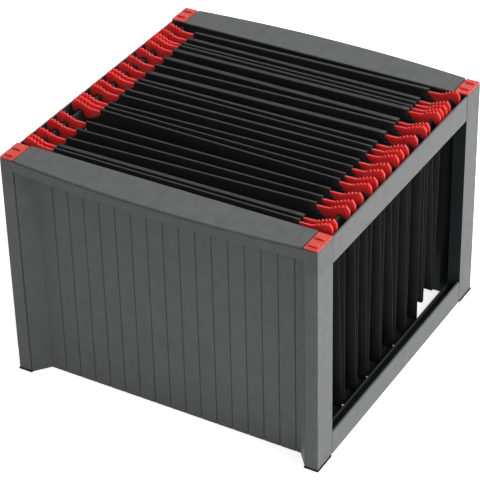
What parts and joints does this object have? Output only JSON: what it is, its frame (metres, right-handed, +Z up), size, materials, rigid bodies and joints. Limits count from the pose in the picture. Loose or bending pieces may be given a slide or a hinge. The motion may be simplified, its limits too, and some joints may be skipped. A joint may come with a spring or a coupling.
{
  "type": "suspension file box",
  "caption": "Open plastic frame with ribbed ends and red corner keys, holding a row of black hanging files by red toothed hooks.",
  "frame": {"origin": "middle of the footprint, on the ground under the foot pads", "axes": "+X to the right along the front ribbed panel, +Y from front to back across the row of files, +Z up"},
  "size_m": [0.362, 0.378, 0.2712],
  "materials": {
    "anthracite_plastic": "fine satin grain, moulded",
    "red_key_plastic": "satin, moulded",
    "red_hook_plastic": "semi-gloss, moulded",
    "black_card": "matt dyed card",
    "bar_steel": "plated strip",
    "dark_pad_rubber": "matt"
  },
  "bodies": {
    "frame": {"front_panel": "anthracite_plastic", "back_panel": "anthracite_plastic", "front_top_rail": "anthracite_plastic", "back_top_rail": "anthracite_plastic", "foot_block_front_left": "anthracite_plastic", "foot_block_front_right": "anthracite_plastic", "foot_block_back_left": "anthracite_plastic", "foot_block_back_right": "anthracite_plastic", "top_side_rail_left": "anthracite_plastic", "top_side_rail_right": "anthracite_plastic", "bottom_side_rail_left": "anthracite_plastic", "bottom_side_rail_right": "anthracite_plastic", "corner_key_front_left": "red_key_plastic", "corner_key_front_right": "red_key_plastic", "corner_key_back_left": "red_key_plastic", "corner_key_back_right": "red_key_plastic", "foot_pad_front_left": "dark_pad_rubber", "foot_pad_front_right": "dark_pad_rubber", "foot_pad_back_left": "dark_pad_rubber", "foot_pad_back_right": "dark_pad_rubber"},
    "file_01": {"folder_01": "black_card", "folder_bars_01": "bar_steel", "hooks_01": "red_hook_plastic"},
    "file_02": {"folder_02": "black_card", "folder_bars_02": "bar_steel", "hooks_02": "red_hook_plastic"},
    "file_03": {"folder_03": "black_card", "folder_bars_03": "bar_steel", "hooks_03": "red_hook_plastic"},
    "file_04": {"folder_04": "black_card", "folder_bars_04": "bar_steel", "hooks_04": "red_hook_plastic"},
    "file_05": {"folder_05": "black_card", "folder_bars_05": "bar_steel", "hooks_05": "red_hook_plastic"},
    "file_06": {"folder_06": "black_card", "folder_bars_06": "bar_steel", "hooks_06": "red_hook_plastic"},
    "file_07": {"folder_07": "black_card", "folder_bars_07": "bar_steel", "hooks_07": "red_hook_plastic"},
    "file_08": {"folder_08": "black_card", "folder_bars_08": "bar_steel", "hooks_08": "red_hook_plastic"},
    "file_09": {"folder_09": "black_card", "folder_bars_09": "bar_steel", "hooks_09": "red_hook_plastic"},
    "file_10": {"folder_10": "black_card", "folder_bars_10": "bar_steel", "hooks_10": "red_hook_plastic"}
  },
  "joints": [
    {"name": "file_01_lift", "type": "slide", "parent": "frame", "child": "file_01", "axis": [0, 0, 1], "range_m": [0, 0.275]},
    {"name": "file_02_lift", "type": "slide", "parent": "frame", "child": "file_02", "axis": [0, 0, 1], "range_m": [0, 0.275]},
    {"name": "file_03_lift", "type": "slide", "parent": "frame", "child": "file_03", "axis": [0, 0, 1], "range_m": [0, 0.275]},
    {"name": "file_04_lift", "type": "slide", "parent": "frame", "child": "file_04", "axis": [0, 0, 1], "range_m": [0, 0.275]},
    {"name": "file_05_lift", "type": "slide", "parent": "frame", "child": "file_05", "axis": [0, 0, 1], "range_m": [0, 0.275]},
    {"name": "file_06_lift", "type": "slide", "parent": "frame", "child": "file_06", "axis": [0, 0, 1], "range_m": [0, 0.275]},
    {"name": "file_07_lift", "type": "slide", "parent": "frame", "child": "file_07", "axis": [0, 0, 1], "range_m": [0, 0.275]},
    {"name": "file_08_lift", "type": "slide", "parent": "frame", "child": "file_08", "axis": [0, 0, 1], "range_m": [0, 0.275]},
    {"name": "file_09_lift", "type": "slide", "parent": "frame", "child": "file_09", "axis": [0, 0, 1], "range_m": [0, 0.275]},
    {"name": "file_10_lift", "type": "slide", "parent": "frame", "child": "file_10", "axis": [0, 0, 1], "range_m": [0, 0.275]}
  ]
}
